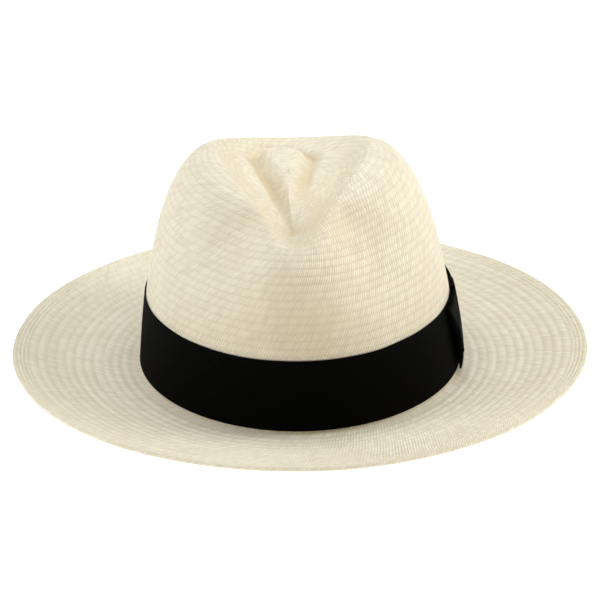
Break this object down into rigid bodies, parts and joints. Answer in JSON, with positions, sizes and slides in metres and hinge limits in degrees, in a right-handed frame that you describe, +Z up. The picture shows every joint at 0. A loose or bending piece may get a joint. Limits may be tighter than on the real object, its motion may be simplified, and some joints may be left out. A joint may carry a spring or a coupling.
{
  "type": "panama hat",
  "caption": "Woven straw panama hat with a pinched teardrop crown, a curled brim, a black grosgrain ribbon with a flat side bow and a leather sweatband",
  "frame": {"origin": "centre of the bounding box on the floor the hat stands on, under the brim", "axes": "+Z up through the crown, the front of the hat toward -Y, the bow on the wearer's left toward +X"},
  "size_m": [0.3122, 0.3416, 0.1154],
  "materials": {
    "straw": "matte woven straw",
    "straw_thread": "matte cotton thread",
    "grosgrain": "matte ribbed ribbon",
    "black_thread": "matte thread",
    "sweat_leather": "satin",
    "tan_thread": "matte thread",
    "reed_plastic": "matte",
    "tape": "matte cotton tape",
    "narrow_ribbon": "satin"
  },
  "bodies": {
    "root": {"straw_body": "straw", "hem_stitching": "straw_thread", "ribbon_band": "grosgrain", "ribbon_stitches": "black_thread", "bow_tail": "grosgrain", "bow_loop": "grosgrain", "bow_knot": "grosgrain", "bow_stitches": "black_thread", "sweatband": "sweat_leather", "sweatband_stitching": "tan_thread", "sweatband_reed": "reed_plastic", "reed_cloth": "tape", "joint_patch": "sweat_leather", "rear_bow_loops": "narrow_ribbon", "rear_bow_knot": "narrow_ribbon"}
  },
  "joints": []
}
